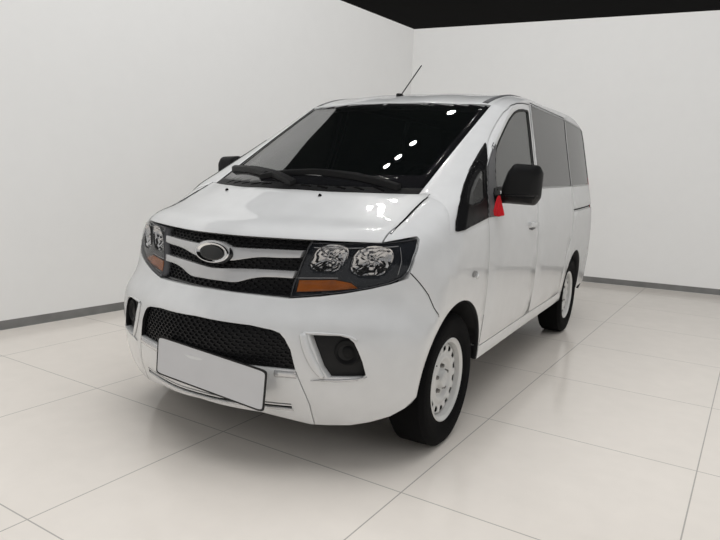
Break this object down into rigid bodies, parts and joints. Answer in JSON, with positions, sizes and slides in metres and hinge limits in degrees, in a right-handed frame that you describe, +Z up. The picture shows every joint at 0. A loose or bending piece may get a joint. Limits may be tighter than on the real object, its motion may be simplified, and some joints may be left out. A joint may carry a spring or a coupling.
{
  "type": "minivan",
  "caption": "Full-size one-box passenger van with a sloping nose, hinged front doors, bonnet and tailgate, fixed sliding side doors, steerable front wheels and a hollow cabin with seats.",
  "frame": {"origin": "on the ground under the middle of the body", "axes": "+X forward, +Y to the left, +Z up"},
  "size_m": [4.6198, 2.175, 2.0617],
  "materials": {
    "paint": "pearl silver-white gloss paint",
    "tyre": "black rubber",
    "wheel_silver": "silver paint on steel",
    "clear_glass": "clear, faintly green",
    "dark_glass": "dark privacy tint",
    "lamp_clear": "clear lamp cover",
    "lamp_red": "red lamp lens",
    "bright_silver": "bright silver",
    "black_plastic": "black grained",
    "seat_cloth": "dark woven cloth",
    "black_steel": "black coating",
    "cast_metal": "as cast",
    "dull_steel": "dull"
  },
  "bodies": {
    "body": {"antenna": "black_plastic", "body_side_left": "paint", "body_side_right": "paint", "cowl_panel": "black_plastic", "dashboard": "black_plastic", "engine": "cast_metal", "exhaust_and_tank": "dull_steel", "floor_pan": "black_steel", "front_bumper": "paint", "front_fenders": "paint", "front_frame": "black_steel", "front_subframe": "black_steel", "grille_bars": "bright_silver", "grilles": "black_plastic", "headlamps": "lamp_clear", "rear_axle": "black_steel", "rear_bumper": "paint", "roof_panel": "paint", "seats": "seat_cloth", "side_glass": "dark_glass", "sliding_doors": "paint", "tail_lamps": "lamp_red", "wheel_liners": "black_plastic", "windscreen": "clear_glass", "wipers": "black_plastic"},
    "front_door_left": {"front_door_left": "paint", "front_door_glass_left": "clear_glass", "mirror_left": "black_plastic"},
    "front_door_right": {"front_door_right": "paint", "front_door_glass_right": "clear_glass", "mirror_right": "black_plastic"},
    "bonnet": {"bonnet": "paint"},
    "tailgate": {"tailgate": "paint", "tailgate_glass": "dark_glass"},
    "steering_wheel": {"steering_wheel": "black_plastic"},
    "knuckle_left": {"knuckle_left": "black_steel"},
    "knuckle_right": {"knuckle_right": "black_steel"},
    "wheel_front_left": {"rim_front_left": "wheel_silver", "tyre_front_left": "tyre"},
    "wheel_front_right": {"rim_front_right": "wheel_silver", "tyre_front_right": "tyre"},
    "wheel_rear_left": {"rim_rear_left": "wheel_silver", "tyre_rear_left": "tyre"},
    "wheel_rear_right": {"rim_rear_right": "wheel_silver", "tyre_rear_right": "tyre"}
  },
  "joints": [
    {"name": "steering_wheel_turn", "type": "hinge", "parent": "body", "child": "steering_wheel", "pos_m": [0.72, 0.38, 1.19], "axis": [-0.8829, 0, 0.4695], "range_deg": [-528, 528]},
    {"name": "steer_left", "type": "hinge", "parent": "body", "child": "knuckle_left", "pos_m": [1.485, 0.69, 0.322], "axis": [0, 0, 1], "range_deg": [-33, 33]},
    {"name": "steer_right", "type": "hinge", "parent": "body", "child": "knuckle_right", "pos_m": [1.485, -0.69, 0.322], "axis": [0, 0, 1], "range_deg": [-33, 33]},
    {"name": "spin_front_left", "type": "hinge", "parent": "knuckle_left", "child": "wheel_front_left", "pos_m": [1.485, 0.771, 0.322], "axis": [0, 1, 0], "continuous": true},
    {"name": "spin_front_right", "type": "hinge", "parent": "knuckle_right", "child": "wheel_front_right", "pos_m": [1.485, -0.771, 0.322], "axis": [0, 1, 0], "continuous": true},
    {"name": "spin_rear_left", "type": "hinge", "parent": "body", "child": "wheel_rear_left", "pos_m": [-1.325, 0.771, 0.322], "axis": [0, 1, 0], "continuous": true},
    {"name": "spin_rear_right", "type": "hinge", "parent": "body", "child": "wheel_rear_right", "pos_m": [-1.325, -0.771, 0.322], "axis": [0, 1, 0], "continuous": true},
    {"name": "front_door_left_hinge", "type": "hinge", "parent": "body", "child": "front_door_left", "pos_m": [1.1, 0.9, 0.9], "axis": [0, 0, -1], "range_deg": [0, 66]},
    {"name": "front_door_right_hinge", "type": "hinge", "parent": "body", "child": "front_door_right", "pos_m": [1.1, -0.9, 0.9], "axis": [0, 0, 1], "range_deg": [0, 66]},
    {"name": "bonnet_hinge", "type": "hinge", "parent": "body", "child": "bonnet", "pos_m": [1.436, 0, 1.196], "axis": [0, -1, 0], "range_deg": [0, 46]},
    {"name": "tailgate_hinge", "type": "hinge", "parent": "body", "child": "tailgate", "pos_m": [-2.184, 0, 1.826], "axis": [0, 1, 0], "range_deg": [0, 84]}
  ],
  "couplings": [
    {"joint": "steer_left", "follows": "steering_wheel_turn", "ratio": 0.0625},
    {"joint": "steer_right", "follows": "steering_wheel_turn", "ratio": 0.0625}
  ]
}
